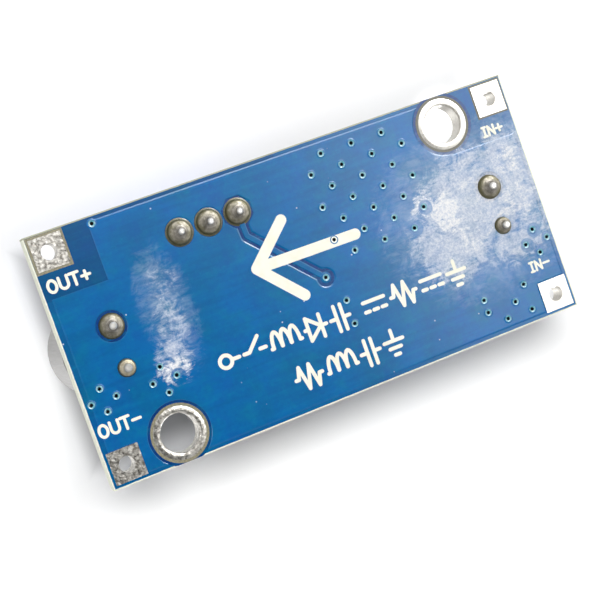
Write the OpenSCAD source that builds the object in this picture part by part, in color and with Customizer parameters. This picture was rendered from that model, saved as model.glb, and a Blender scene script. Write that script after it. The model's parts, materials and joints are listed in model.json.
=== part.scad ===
// Adjustable buck converter module on a small circuit board, in millimetres.
// Frame: the origin is the middle of the two mounting holes on the solder side.
// +X runs from the input end to the output end, +Y towards the positive terminals,
// +Z is the side that carries the components.

/* [Board] */
// Board length from the input end to the output end
board_l = 43; // [40:0.5:60]
// Board width
board_w = 21; // [20:0.5:30]
// Laminate thickness
board_t = 1.6; // [1:0.1:2.4]
// Diameter of a via's open hole
via_d = 0.3; // [0.2:0.05:0.5]

/* [Terminals] */
// Side of a square terminal pad
pad_w = 2.65; // [2.2:0.05:2.9]
// Wire hole in a terminal pad
pad_hole_d = 1.3; // [0.8:0.05:1.6]
// Distance from a pad's middle to both board edges
pad_inset = 1.65; // [1.6:0.05:2]

/* [Mounting holes] */
// Screw hole diameter
mount_d = 3.2; // [2.2:0.1:3.4]
// Outer diameter of the tinned ring
ring_d = 4.4; // [3.8:0.1:4.6]
// Distance from a hole's middle to the end of the board
mount_end = 6.45; // [6.3:0.05:7.5]
// Distance from a hole's middle to the side of the board
mount_side = 2.4; // [2.3:0.05:3]

/* [Capacitors] */
// Can diameter
can_d = 8; // [6.3:0.1:8.2]
// Can height above the board
can_h = 12; // [8:0.5:20]
// Distance between the two leads
lead_pitch = 3.5; // [2.5:0.1:5]
// Lead diameter
lead_d = 0.6; // [0.5:0.05:0.8]
// Distance from the can's middle to the end of the board
can_end = 4.25; // [4.2:0.05:4.6]

/* [Inductor] */
// Side of the square shield
coil_w = 12; // [7:0.1:12.2]
// Height of the shield
coil_h = 6.6; // [4:0.1:8]
// Distance from the middle to the negative side of the board
coil_side = 6.5; // [6.4:0.1:7]

/* [Regulator] */
// Width of the moulded body
chip_w = 10.2; // [9.8:0.1:10.6]
// Length of the moulded body
chip_l = 8.7; // [8:0.1:9.2]
// Height of the moulded body
chip_h = 4.45; // [3.8:0.05:4.8]
// Distance between leads
chip_pitch = 1.7; // [1.5:0.05:1.8]

/* [Trimmer] */
// Housing length
trim_l = 9.53; // [9.4:0.01:10.4]
// Housing width
trim_w = 4.83; // [4.7:0.01:5.4]
// Housing height above the board
trim_h = 10; // [9.6:0.1:12]
// Screw head diameter
screw_d = 2.19; // [1.8:0.01:2.4]
// How far the screw stands out of the housing
screw_out = 1.5; // [0.8:0.1:2.5]

/* [Solder joints] */
// Radius of a joint on the solder side
joint_r = 1.05; // [0.9:0.05:1.2]
// Radius of a joint in the ground copper
ground_joint_r = 0.74; // [0.6:0.02:1]
// Height of a joint below the board
joint_h = 0.72; // [0.4:0.02:0.9]
// How far every lead stands below the board
lead_out = 1.05; // [0.95:0.05:2]

/* [Hidden] */
$fn = 48;
tin_t = 0.07;                       // tinned copper on a pad
land_t = 0.05;                      // land under a surface part
pad_wall = 0.2;                     // copper and tin inside a wire hole
ring_wall = 0.06;                   // copper and tin inside a screw hole
e = 0.01;                           // cuts pass a face by this much

pad_x = board_l / 2 - pad_inset;
pad_y = board_w / 2 - pad_inset;
mount_x = board_l / 2 - mount_end;
mount_y = board_w / 2 - mount_side;
can_x = board_l / 2 - can_end;
can_r = can_d / 2;
pin_d = 0.5;
pin_pitch = 2.54;
top = board_t;                      // component side
seat = board_t + land_t;            // where surface parts sit

chip_x = -6.75;
chip_y = board_w / 2 - 5.6;         // middle of the moulded body
tab_t = 1.27;
lead_t = 0.5;
lead_w = 0.8;
chip_front = chip_y - chip_l / 2;
chip_back = chip_y + chip_l / 2;
foot_end = chip_front - 4.95;

coil_x = 6.3;
coil_y = -board_w / 2 + coil_side;
clip_t = 0.2;
base_t = 0.8;
base_z = seat + clip_t;
shield_z = base_z + base_t;
drum_r = coil_w * 0.425;
shield_r = coil_w * 0.445;

diode_x = -6;
diode_y = -board_w / 2 + 2.6;
diode_l = 4.57;
diode_w = 3.6;
diode_h = 2.1;

res_x = 0.2;
res_y = board_w / 2 - 3.6;

trim_x = 7;
trim_y = board_w / 2 - 3.6;
trim_foot = 0.4;
trim_z = top + trim_foot;
trim_top = top + trim_h;
wall = 0.45;
cap_t = 0.8;
corner = 1.515;                     // screw axis from two housing faces
screw_x = trim_x - trim_l / 2 + corner;
screw_y = trim_y + trim_w / 2 - corner;
worm_r = 0.8;
teeth = 33;
wheel_r = 2.9;
wheel_x = screw_x + worm_r + 0.06 + wheel_r;
wheel_z = trim_z + 5;
back_in = trim_y + trim_w / 2 - wall;    // inner face behind the wheel
front_in = trim_y - trim_w / 2 + wall;   // inner face behind the element

via_r = via_d / 2;
via_out = via_r + 0.13;
grid = 1.41;                        // half the pitch of the heat vias

// a staggered field of vias under the regulator's tab
heat_vias = [for (j = [0:6], i = [(j + 1) % 2:2:6])
    [chip_x + (i - 3) * grid, chip_y + (3 - j) * grid]];
// ground vias near the terminals, the diode and the rings
other_vias = [
    [-0.76, -0.6], [-1.78, -2.97], [-1.78, -5],
    [-pad_x + 0.1, -2.95], [-pad_x - 0.95, -4], [-pad_x + 1.15, -4], [-pad_x + 0.1, -5.03],
    [-pad_x + 2.55, -pad_y + 1.75], [-pad_x + 2.55, -pad_y - 0.5],
    [-mount_x + 1.7, -7.15], [-mount_x - 1, -8.24], [-mount_x + 1.7, -8.25],
    [-mount_x + 0.15, -9.35],
    [mount_x + 0.9, board_w / 2 - 0.66],
    [pad_x, -2.55], [pad_x - 1.05, -3.53], [pad_x + 1.05, -3.53], [pad_x, -4.45],
    [mount_x - 0.3, -2.61], [mount_x - 1.35, -3.7], [mount_x + 0.7, -3.7],
    [mount_x - 0.3, -4.78]
];
vias = concat(heat_vias, other_vias);

trim_pins = [for (i = [-1:1]) [trim_x + i * pin_pitch, trim_y]];
can_pins = [for (s = [-1, 1], k = [-1, 1]) [s * can_x, k * lead_pitch / 2]];

// ---- shared shapes ----

// box from its lowest corner to its highest corner
module block(a, b) {
    translate(a) cube([b[0] - a[0], b[1] - a[1], b[2] - a[2]]);
}

// upright cylinder at a point of the board, from z0 to z1
module post(at, r, z0, z1) {
    translate([at[0], at[1], z0]) cylinder(r = r, h = z1 - z0);
}

// square with cut corners, extruded from z0 to z1
module cut_square(w, c, z0, z1) {
    h = w / 2;
    translate([0, 0, z0]) linear_extrude(z1 - z0)
        polygon([[-h + c, -h], [h - c, -h], [h, -h + c], [h, h - c],
            [h - c, h], [-h + c, h], [-h, h - c], [-h, -h + c]]);
}

// side profile in (y, z), extruded along X with its middle on x = 0
module along_x(w, pts) {
    translate([-w / 2, 0, 0]) rotate([90, 0, 90]) linear_extrude(w) polygon(pts);
}

// side profile in (x, z), extruded along Y with its middle on y = 0
module along_y(w, pts) {
    translate([0, w / 2, 0]) rotate([90, 0, 0]) linear_extrude(w) polygon(pts);
}

// ---- board ----

module circuit_board() {
    color([0.03, 0.22, 0.55]) difference() {
        block([-board_l / 2, -board_w / 2, 0], [board_l / 2, board_w / 2, top]);
        for (sx = [-1, 1], sy = [-1, 1])
            post([sx * pad_x, sy * pad_y], pad_hole_d / 2 + pad_wall, -e, top + e);
        for (s = [-1, 1])
            post([s * mount_x, -s * mount_y], mount_d / 2 + ring_wall, -e, top + e);
        for (p = trim_pins) post(p, pin_d / 2 + 0.15, -e, top + e);
        for (p = can_pins) post(p, lead_d / 2 + 0.15, -e, top + e);
        for (p = vias) post(p, via_out, -e, top + e, $fn = 24);
    }
}

module plated_vias() {
    color([0.78, 0.76, 0.7]) for (p = vias) difference() {
        post(p, via_out, -0.03, top, $fn = 24);
        post(p, via_r, -1, top + 1, $fn = 24);
    }
}

module terminal_pads() {
    color([0.82, 0.82, 0.8]) for (sx = [-1, 1], sy = [-1, 1])
        translate([sx * pad_x, sy * pad_y, 0]) difference() {
            union() {
                post([0, 0], pad_hole_d / 2 + pad_wall, -tin_t, top + tin_t);
                for (z = [-tin_t, top])
                    block([-pad_w / 2, -pad_w / 2, z], [pad_w / 2, pad_w / 2, z + tin_t]);
            }
            post([0, 0], pad_hole_d / 2, -1, top + 1);
        }
}

module mounting_rings() {
    r = mount_d / 2;
    w = ring_d / 2 - r;
    // rounded tin from the ring's outer edge to the hole: distance from the hole's
    // wall and height over the board
    lip = [[w, 0], [w - 0.05, 0.05], [w * 0.6, 0.09], [w * 0.4, 0.1], [w * 0.2, 0.085],
        [w * 0.07, 0.04], [0, -0.05]];
    color([0.85, 0.85, 0.83]) for (s = [-1, 1]) translate([s * mount_x, -s * mount_y, 0])
        rotate_extrude($fn = 96) polygon(concat([[r + ring_wall, 0]],
            [for (p = lip) [r + p[0], -p[1]]],
            [for (i = [len(lip) - 1:-1:0]) [r + lip[i][0], top + lip[i][1]]],
            [[r + ring_wall, top]]));
}

module component_lands() {
    color([0.8, 0.78, 0.72]) {
        block([chip_x - 5.4, chip_front + 0.9, top], [chip_x + 5.4, chip_back + 1.15, seat]);
        for (i = [-2:2]) translate([chip_x + i * chip_pitch, 0, 0])
            block([-0.5, foot_end - 0.55, top], [0.5, foot_end + 2.6, seat]);
        for (s = [-1, 1]) {
            translate([coil_x + s * (coil_w / 2 - 0.55), coil_y, 0])
                block([-1.05, -2.7, top], [1.05, 2.7, seat]);
            translate([diode_x + s * 2.35, diode_y, 0])
                block([-0.95, -1.3, top], [0.95, 1.3, seat]);
            translate([res_x, res_y + s * 0.95, 0])
                block([-0.7, -0.6, top], [0.7, 0.6, seat]);
        }
    }
}

module reflow_solder() {
    color([0.75, 0.75, 0.73]) {
        for (i = [-2:2]) translate([chip_x + i * chip_pitch, foot_end, seat])
            along_x(0.8, [[-0.5, 0], [0, 0], [0, 0.42], [-0.2, 0.22]]);
        translate([chip_x, chip_back + 1, seat])
            along_x(9.2, [[0, 0], [0.14, 0], [0.04, 0.4], [0, 0.6]]);
        for (s = [-1, 1]) {
            translate([coil_x + s * (coil_w / 2 + clip_t), coil_y, seat])
                mirror([s < 0 ? 1 : 0, 0, 0])
                    along_y(4.6, [[0, 0], [0.28, 0], [0.1, 0.35], [0, 0.8]]);
            translate([diode_x + s * 2.5, diode_y, seat])
                mirror([s < 0 ? 1 : 0, 0, 0])
                    along_y(2, [[0, 0], [0.75, 0], [0.3, 0.3], [0, 0.8]]);
            translate([res_x, res_y + s * 1, seat])
                mirror([0, s < 0 ? 1 : 0, 0])
                    along_x(1.2, [[0, 0], [0.5, 0], [0.2, 0.15], [0, 0.4]]);
        }
    }
}

// ---- through-hole solder joints ----

// a joint's section from its rim to the lead, in parts of its width and height: a
// steep shoulder, then a gentle rise
dome = [[1, 0], [0.98, 0.16], [0.93, 0.32], [0.85, 0.46], [0.75, 0.55], [0.62, 0.6],
    [0.45, 0.66], [0.25, 0.76], [0.1, 0.88], [0, 1]];

// dome below the board round a lead, with the hole filled up to the component side
module solder_joint(lead_r, r, h) {
    rotate_extrude() polygon(concat([[lead_r, top], [lead_r + 0.15, top],
        [lead_r + 0.15, 0]], [for (p = dome) [lead_r + (r - lead_r) * p[0], -h * p[1]]]));
}

module trimmer_solder() {
    color([0.66, 0.66, 0.64]) for (p = trim_pins) translate(p)
        solder_joint(pin_d / 2, joint_r, joint_h);
}

module capacitor_solder() {
    color([0.66, 0.66, 0.64]) for (p = can_pins) translate(p)
        solder_joint(lead_d / 2, p[1] > 0 ? joint_r : ground_joint_r, joint_h);
}

// ---- regulator ----

module regulator_body() {
    c = 0.35;
    color([0.08, 0.08, 0.09]) difference() {
        translate([chip_x, 0, 0]) intersection() {
            along_x(chip_w, [[chip_front, seat], [chip_back, seat],
                [chip_back, seat + chip_h - 0.9], [chip_back - 0.5, seat + chip_h],
                [chip_front + c, seat + chip_h], [chip_front, seat + 2.6]]);
            translate([0, chip_y, 0]) along_y(chip_l + 1, [[-chip_w / 2 + 0.12, seat],
                [chip_w / 2 - 0.12, seat], [chip_w / 2, seat + 2], [chip_w / 2 - c, seat + chip_h],
                [-chip_w / 2 + c, seat + chip_h], [-chip_w / 2, seat + 2]]);
        }
        // room for the tab, the chip and the lead ends
        block([chip_x - 4.2, chip_front + 1.2, seat - e], [chip_x + 4.2, chip_back + e, seat + tab_t]);
        block([chip_x - 2, chip_y - 1, seat + tab_t - e],
            [chip_x + 2, chip_y + 2.2, seat + tab_t + 0.35]);
        for (i = [-2:2]) translate([chip_x + i * chip_pitch, 0, 0])
            block([-lead_w / 2, chip_front - e, seat + 2.35],
                [lead_w / 2, chip_front + 1.6, seat + 2.35 + lead_t]);
        // moulding mark on the top
        post([chip_x - 3.2, chip_front + 2], 0.65, seat + chip_h - 0.12, seat + chip_h + 1);
    }
}

module regulator_tab() {
    color([0.72, 0.7, 0.66]) {
        block([chip_x - 4.2, chip_front + 1.2, seat], [chip_x + 4.2, chip_back, seat + tab_t]);
        translate([chip_x, chip_back, seat]) linear_extrude(tab_t)
            polygon([[-4.9, 0], [4.9, 0], [4.9, 0.6], [4.5, 1], [1.4, 1], [1.1, 0.75],
                [-1.1, 0.75], [-1.4, 1], [-4.5, 1], [-4.9, 0.6]]);
    }
}

module regulator_leads() {
    z = seat + 2.35;
    y = chip_front;
    color([0.76, 0.75, 0.72]) for (i = [-2:2]) translate([chip_x + i * chip_pitch, 0, 0])
        along_x(lead_w, [[y + 1.6, z], [y + 1.6, z + lead_t], [y - 1.25, z + lead_t],
            [y - 1.55, z + lead_t - 0.15], [y - 2.35, seat + lead_t + 0.15],
            [y - 2.6, seat + lead_t], [foot_end, seat + lead_t], [foot_end, seat],
            [y - 2.4, seat], [y - 2, seat + 0.2], [y - 1.25, z - 0.12], [y - 1.05, z]]);
}

module regulator_die() {
    color([0.45, 0.46, 0.5]) block([chip_x - 2, chip_y - 1, seat + tab_t],
        [chip_x + 2, chip_y + 2.2, seat + tab_t + 0.35]);
}

// ---- inductor ----

module inductor_base() {
    color([0.12, 0.12, 0.12]) translate([coil_x, coil_y, 0])
        cut_square(coil_w, 1.6, base_z, shield_z);
}

module inductor_terminals() {
    h = coil_w / 2;
    color([0.8, 0.79, 0.75]) for (s = [-1, 1]) translate([coil_x, coil_y, 0])
        mirror([s < 0 ? 1 : 0, 0, 0])
            along_y(4.8, [[h - 1.5, seat], [h + clip_t, seat], [h + clip_t, base_z + 1.5],
                [h, base_z + 1.5], [h, base_z], [h - 1.5, base_z]]);
}

module inductor_core() {
    t = 1.2;
    z1 = shield_z + coil_h - 0.12;
    color([0.2, 0.2, 0.22]) translate([coil_x, coil_y, 0]) {
        rotate_extrude($fn = 96) polygon([[0, shield_z], [drum_r, shield_z],
            [drum_r, shield_z + t], [drum_r * 0.5, shield_z + t], [drum_r * 0.5, z1 - t],
            [drum_r, z1 - t], [drum_r, z1 - 0.12], [drum_r - 0.12, z1], [0, z1]]);
    }
}

module inductor_winding() {
    t = 1.2;
    z0 = shield_z + t;
    z1 = shield_z + coil_h - 0.12 - t;
    turns = 6;
    p = (z1 - z0) / turns;
    r = drum_r * 0.9;
    color([0.72, 0.36, 0.16]) translate([coil_x, coil_y, 0]) rotate_extrude($fn = 72)
        polygon(concat([[drum_r * 0.5, z1], [drum_r * 0.5, z0]],
            [for (i = [0:turns - 1], k = [0:3]) [r + [0, 0.14, 0.14, 0][k],
                z0 + p * (i + [0.02, 0.3, 0.7, 0.98][k])]]));
}

module inductor_shield() {
    color([0.24, 0.24, 0.26]) translate([coil_x, coil_y, 0]) difference() {
        cut_square(coil_w, 1.6, shield_z, shield_z + coil_h);
        post([0, 0], shield_r, shield_z - 1, shield_z + coil_h + 1, $fn = 96);
    }
}

module inductor_adhesive() {
    z1 = shield_z + coil_h - 0.3;
    color([0.55, 0.5, 0.42]) translate([coil_x, coil_y, 0]) intersection() {
        difference() {
            post([0, 0], shield_r - 0.01, z1 - 0.7, z1, $fn = 96);
            post([0, 0], drum_r, z1 - 2, z1 + 1, $fn = 96);
        }
        union() for (a = [45, 135]) rotate([0, 0, a])
            cube([3 * coil_w, 2.6, 60], center = true);
    }
}

// ---- diode ----

module diode_body() {
    z0 = seat + clip_t;
    h = diode_l / 2;
    color([0.1, 0.1, 0.11]) translate([diode_x, diode_y, z0]) intersection() {
        along_y(diode_w, [[-h + 0.15, 0], [h - 0.15, 0], [h, 0.9], [h - 0.3, diode_h],
            [-h + 0.3, diode_h], [-h, 0.9]]);
        along_x(diode_l + 1, [[-diode_w / 2 + 0.1, 0], [diode_w / 2 - 0.1, 0],
            [diode_w / 2, 0.9], [diode_w / 2 - 0.25, diode_h], [-diode_w / 2 + 0.25, diode_h],
            [-diode_w / 2, 0.9]]);
    }
}

module diode_terminals() {
    h = diode_l / 2;
    color([0.78, 0.77, 0.74]) for (s = [-1, 1]) translate([diode_x, diode_y, seat])
        mirror([s < 0 ? 1 : 0, 0, 0])
            along_y(2, [[1.5, 0], [2.5, 0], [2.5, clip_t + 1.05], [h - 0.04, clip_t + 1.05],
                [h, clip_t + 0.9], [h - 0.15, clip_t], [1.5, clip_t]]);
}

// ---- capacitors ----

// radii and heights of the can's skin below its straight wall, from the rim up
skirt = [[-0.4, 0.3], [0, 0.55], [0, 1.7], [-0.2, 1.85], [-0.42, 2.15], [-0.2, 2.45], [0, 2.6]];

module can(s) {
    skin = 0.3;
    color([0.74, 0.75, 0.76]) translate([s * can_x, 0, top]) difference() {
        rotate_extrude($fn = 96) polygon(concat(
            [for (p = skirt) [can_r + p[0], p[1]]],
            [[can_r, can_h - 0.45], [can_r - 0.13, can_h - 0.13], [can_r - 0.45, can_h],
                [0, can_h], [0, can_h - skin], [can_r - 0.6, can_h - skin],
                [can_r - skin, can_h - 0.6]],
            [for (i = [len(skirt) - 1:-1:0]) [can_r - skin + skirt[i][0], skirt[i][1]]]));
        // scored vent on the end
        for (a = [45, 135]) rotate([0, 0, a]) translate([0, 0, can_h])
            cube([can_d * 0.55, 0.16, 0.2], center = true);
    }
}

module bung(s) {
    skin = 0.3;
    boss_r = max(can_r - 1.3, lead_pitch / 2 + lead_d / 2 + 0.25);
    color([0.12, 0.11, 0.11]) translate([s * can_x, 0, top]) difference() {
        rotate_extrude($fn = 96) polygon(concat([[0, 0], [boss_r, 0], [boss_r, 0.3]],
            [for (p = skirt) [can_r - skin + p[0], p[1]]],
            [[can_r - skin, 3.1], [0, 3.1]]));
        for (k = [-1, 1]) post([0, k * lead_pitch / 2], lead_d / 2, -1, 4);
    }
}

module roll(s) {
    color([0.8, 0.78, 0.7]) post([s * can_x, 0], can_r - 0.5, top + 3.1, top + can_h - 1);
}

module leads(s) {
    color([0.8, 0.8, 0.78]) for (k = [-1, 1]) translate([s * can_x, k * lead_pitch / 2, 0])
        rotate_extrude($fn = 24) polygon([[0, -lead_out], [lead_d / 2 - 0.12, -lead_out],
            [lead_d / 2, -lead_out + 0.12], [lead_d / 2, top + 3.1], [0, top + 3.1]]);
}

module input_can() { can(-1); }
module input_bung() { bung(-1); }
module input_roll() { roll(-1); }
module input_leads() { leads(-1); }
module output_can() { can(1); }
module output_bung() { bung(1); }
module output_roll() { roll(1); }
module output_leads() { leads(1); }

// ---- trimmer ----

module trimmer_housing() {
    x0 = trim_x - trim_l / 2;
    x1 = trim_x + trim_l / 2;
    y0 = trim_y - trim_w / 2;
    y1 = trim_y + trim_w / 2;
    color([0.05, 0.2, 0.6]) difference() {
        union() {
            difference() {
                block([x0, y0, trim_z], [x1, y1, trim_top]);
                block([x0 + 0.35, front_in, trim_z - e], [x1 - wall, back_in, trim_top - wall]);
            }
            // collar that holds the seal ring, and the wheel's pivot
            intersection() {
                post([screw_x, screw_y], 1.75, trim_top - 1.7, trim_top - wall + e);
                block([x0, y0, trim_z], [x1, y1, trim_top]);
            }
            translate([wheel_x, back_in + 0.1, wheel_z]) rotate([90, 0, 0])
                cylinder(r = 0.6, h = 2.1);
            // four feet
            for (sx = [-1, 1], sy = [-1, 1])
                translate([trim_x + sx * (trim_l / 2 - 0.6), trim_y + sy * (trim_w / 2 - 0.225),
                    trim_z - trim_foot / 2]) cube([1.2, 0.45, trim_foot], center = true);
        }
        post([screw_x, screw_y], screw_d / 2 + 0.04, trim_top - 0.5, trim_top + 1);
        // shallow recess round the screw
        post([screw_x, screw_y], screw_d / 2 + 0.22, trim_top - 0.1, trim_top + 1);
        post([screw_x, screw_y], 1.35, trim_top - 1.7 - e, trim_top - wall);
    }
}

module trimmer_base() {
    color([0.35, 0.3, 0.22]) difference() {
        block([trim_x - trim_l / 2 + 0.35, front_in, trim_z],
            [trim_x + trim_l / 2 - wall, back_in, trim_z + cap_t]);
        for (p = trim_pins) post(p, pin_d / 2, trim_z - 1, trim_z + 2);
        post([screw_x, screw_y], 0.5 + 0.04, trim_z + 0.3, trim_z + 2);
    }
}

module trimmer_pins() {
    color([0.8, 0.79, 0.76]) for (p = trim_pins) {
        translate(p) rotate_extrude($fn = 24) polygon([[0, -lead_out],
            [pin_d / 2 - 0.1, -lead_out], [pin_d / 2, -lead_out + 0.1],
            [pin_d / 2, trim_z + cap_t], [0, trim_z + cap_t]]);
        // flat strip from the pin to the element's lower edge
        block([p[0] - 0.4, front_in + 0.8, trim_z + cap_t],
            [p[0] + 0.4, p[1] + 0.2, trim_z + cap_t + 0.2]);
    }
}

module trimmer_element() {
    color([0.9, 0.9, 0.86]) block([wheel_x - 3.6, front_in, trim_z + cap_t],
        [wheel_x + 3.4, front_in + 0.8, trim_top - wall - 0.1]);
}

module trimmer_track() {
    color([0.15, 0.14, 0.13]) translate([wheel_x, front_in + 0.86, wheel_z])
        rotate([90, 0, 0]) linear_extrude(0.06) difference() {
            circle(r = 2.45, $fn = 72);
            circle(r = 1.55, $fn = 72);
            rotate([0, 0, -90]) polygon([[0, 0], [4, -2.2], [4, 2.2]]);
        }
}

module trimmer_seal() {
    color([0.5, 0.12, 0.08]) translate([screw_x, screw_y, trim_top - wall - 0.4])
        rotate_extrude() difference() {
            translate([1.2, 0]) square([0.3, 0.8], center = true);
            translate([0.9, 0]) square([0.39, 2], center = true);
        }
}

module trimmer_screw() {
    r = screw_d / 2;
    z0 = trim_z + 0.35;
    zw = trim_z + cap_t + 0.3;
    z1 = trim_top - 1.75;
    ribs = 9;
    p = (z1 - zw - 0.2) / ribs;
    color([0.85, 0.65, 0.25]) translate([screw_x, screw_y, 0]) difference() {
        rotate_extrude() polygon(concat(
            [[0, z0], [0.42, z0], [0.5, z0 + 0.08], [0.5, zw]],
            [for (i = [0:ribs - 1], k = [0:3]) [[0.55, worm_r, worm_r, 0.55][k],
                zw + p * (i + [0.1, 0.35, 0.6, 0.85][k])]],
            [[0.55, z1], [1.05, z1], [1.05, trim_top - wall],
                [r, trim_top - wall + 0.05], [r, trim_top + screw_out - 0.15],
                [r - 0.15, trim_top + screw_out], [0, trim_top + screw_out]]));
        translate([0, 0, trim_top + screw_out]) cube([screw_d * 2, 0.56, 1.5], center = true);
    }
}

module trimmer_wheel() {
    y1 = back_in - 0.05;
    t = 2;
    color([0.93, 0.92, 0.88]) translate([wheel_x, y1, wheel_z]) rotate([90, 0, 0])
        linear_extrude(t) difference() {
            circle(r = wheel_r, $fn = 99);
            circle(r = 0.65);
            for (i = [0:teeth - 1]) rotate([0, 0, i * 360 / teeth])
                translate([wheel_r, 0]) rotate([0, 0, 45]) square(0.26, center = true);
        }
}

module trimmer_wiper() {
    y1 = back_in - 2.05;
    color([0.8, 0.6, 0.35]) translate([wheel_x, y1, wheel_z]) rotate([90, 0, 0]) {
        linear_extrude(0.2) union() {
            difference() {
                circle(r = 1.3);
                circle(r = 0.65);
            }
            translate([-0.5, 0.8]) square([1, 1.6]);
        }
        translate([0, 2, 0.2]) cylinder(r = 0.25, h = y1 - 0.2 - front_in - 0.9);
    }
}

// ---- feedback resistor ----

module resistor_body() {
    color([0.1, 0.1, 0.1]) translate([res_x, res_y, seat])
        block([-0.6, -0.65, 0.03], [0.6, 0.65, 0.53]);
}

module resistor_caps() {
    color([0.85, 0.85, 0.83]) for (s = [-1, 1]) translate([res_x, res_y, seat])
        mirror([0, s < 0 ? 1 : 0, 0]) block([-0.62, 0.65, 0], [0.62, 1, 0.56]);
}

// ---- what is drawn ----

circuit_board();
plated_vias();
terminal_pads();
mounting_rings();
component_lands();
reflow_solder();
trimmer_solder();
capacitor_solder();
regulator_body();
regulator_tab();
regulator_leads();
regulator_die();
inductor_base();
inductor_terminals();
inductor_core();
inductor_winding();
inductor_shield();
inductor_adhesive();
diode_body();
diode_terminals();
input_can();
input_bung();
input_roll();
input_leads();
output_can();
output_bung();
output_roll();
output_leads();
trimmer_housing();
trimmer_base();
trimmer_pins();
trimmer_element();
trimmer_track();
trimmer_seal();
trimmer_screw();
trimmer_wheel();
trimmer_wiper();
resistor_body();
resistor_caps();
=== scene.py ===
import json
import math

import bmesh
import bpy
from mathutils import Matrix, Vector


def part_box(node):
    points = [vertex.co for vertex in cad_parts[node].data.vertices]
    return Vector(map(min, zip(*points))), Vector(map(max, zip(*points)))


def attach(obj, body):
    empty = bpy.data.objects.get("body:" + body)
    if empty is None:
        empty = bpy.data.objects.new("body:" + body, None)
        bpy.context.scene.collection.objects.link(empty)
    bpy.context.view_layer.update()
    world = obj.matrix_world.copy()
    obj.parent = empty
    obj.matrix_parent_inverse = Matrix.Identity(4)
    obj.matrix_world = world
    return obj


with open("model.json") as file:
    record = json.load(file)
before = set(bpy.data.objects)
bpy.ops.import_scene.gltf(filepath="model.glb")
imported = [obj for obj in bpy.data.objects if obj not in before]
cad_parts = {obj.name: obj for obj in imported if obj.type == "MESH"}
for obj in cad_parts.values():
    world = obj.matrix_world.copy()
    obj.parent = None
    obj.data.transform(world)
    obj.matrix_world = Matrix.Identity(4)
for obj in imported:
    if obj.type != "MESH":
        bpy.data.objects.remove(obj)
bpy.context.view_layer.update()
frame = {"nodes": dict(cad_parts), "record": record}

# Lengths below are in millimetres and become metres where a mesh is made.
MM = 0.001
BODY = "module"


# ---- places taken from the frame ----

def box_mm(node):
    """A node's lowest and highest corner in millimetres."""
    lo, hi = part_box(node)
    return lo / MM, hi / MM


def islands(node):
    """The boxes, in millimetres, of a node's separate solids, ordered by place."""
    bm = bmesh.new()
    bm.from_mesh(frame["nodes"][node].data)
    bmesh.ops.remove_doubles(bm, verts=bm.verts, dist=1e-7)
    left = set(bm.verts)
    boxes = []
    while left:
        front = [left.pop()]
        corner = [front[0].co.copy(), front[0].co.copy()]
        while front:
            v = front.pop()
            corner[0] = Vector(map(min, corner[0], v.co))
            corner[1] = Vector(map(max, corner[1], v.co))
            for edge in v.link_edges:
                other = edge.other_vert(v)
                if other in left:
                    left.remove(other)
                    front.append(other)
        boxes.append((corner[0] / MM, corner[1] / MM))
    bm.free()
    return sorted(boxes, key=lambda b: (round(b[0].x, 2), round(b[0].y, 2)))


def middle(lo, hi):
    """Middle and radius, seen along Z, of a round thing in a box."""
    return (lo.x + hi.x) / 2, (lo.y + hi.y) / 2, (hi.x - lo.x) / 2


def centres(node):
    """Middle and radius of each separate solid of a node, seen along Z."""
    return [middle(lo, hi) for lo, hi in islands(node)]


HALF_L, HALF_W, TOP = box_mm("circuit_board")[1]
PADS = centres("terminal_pads")
RINGS = centres("mounting_rings")
VIAS = centres("plated_vias")
TRIMMER_JOINTS = centres("trimmer_solder")
CAP_JOINTS = centres("capacitor_solder")
RING_X = abs(RINGS[0][0])
VIA_R = VIAS[0][2]


# ---- outlines, each a function that gives its points when grown by g ----

def disc(x, y, r, points=32, turn=0.0):
    def grown(g):
        angles = [turn + 2 * math.pi * i / points for i in range(points)]
        return [(x + (r + g) * math.cos(a), y + (r + g) * math.sin(a)) for a in angles]
    return grown


def octagon(x, y, half):
    def grown(g):
        return disc(x, y, (half + g) / math.cos(math.pi / 8), 8, math.pi / 8)(0)
    return grown


def rect(x0, y0, x1, y1):
    def grown(g):
        return [(x0 - g, y0 - g), (x1 + g, y0 - g), (x1 + g, y1 + g), (x0 - g, y1 + g)]
    return grown


def square(x, y, half):
    return rect(x - half, y - half, x + half, y + half)


def capsule(p, q, half, points=8):
    """A straight stroke with round ends."""
    along = math.atan2(q[1] - p[1], q[0] - p[0])

    def grown(g):
        ring = []
        for centre, start in ((q, along - math.pi / 2), (p, along + math.pi / 2)):
            for i in range(points + 1):
                a = start + math.pi * i / points
                ring.append((centre[0] + (half + g) * math.cos(a),
                             centre[1] + (half + g) * math.sin(a)))
        return ring
    return grown


def on_board(outline):
    """The same outline, kept inside the board's edges."""
    def grown(g):
        return [(max(-HALF_L, min(HALF_L, x)), max(-HALF_W, min(HALF_W, y)))
                for x, y in outline(g)]
    return grown


# ---- meshes ----

def loft(bm, outline, steps):
    """Adds a closed solid whose outline is grown by g at height z, for each (g, z)."""
    rings = [[bm.verts.new((x * MM, y * MM, z * MM)) for x, y in outline(g)] for g, z in steps]
    for low, high in zip(rings, rings[1:]):
        for i in range(len(low)):
            j = (i + 1) % len(low)
            bm.faces.new((low[i], low[j], high[j], high[i]))
    bm.faces.new(list(reversed(rings[0])))
    bm.faces.new(rings[-1])


def tube(bm, x, y, profile, points=48):
    """Adds a ring turned round an upright axis from a closed profile of (radius, height)."""
    rings = []
    for i in range(points):
        a = 2 * math.pi * i / points
        rings.append([bm.verts.new(((x + r * math.cos(a)) * MM, (y + r * math.sin(a)) * MM, z * MM))
                      for r, z in profile])
    count = len(profile)
    for here, after in zip(rings, rings[1:] + rings[:1]):
        for k in range(count):
            m = (k + 1) % count
            bm.faces.new((here[k], after[k], after[m], here[m]))


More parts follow.
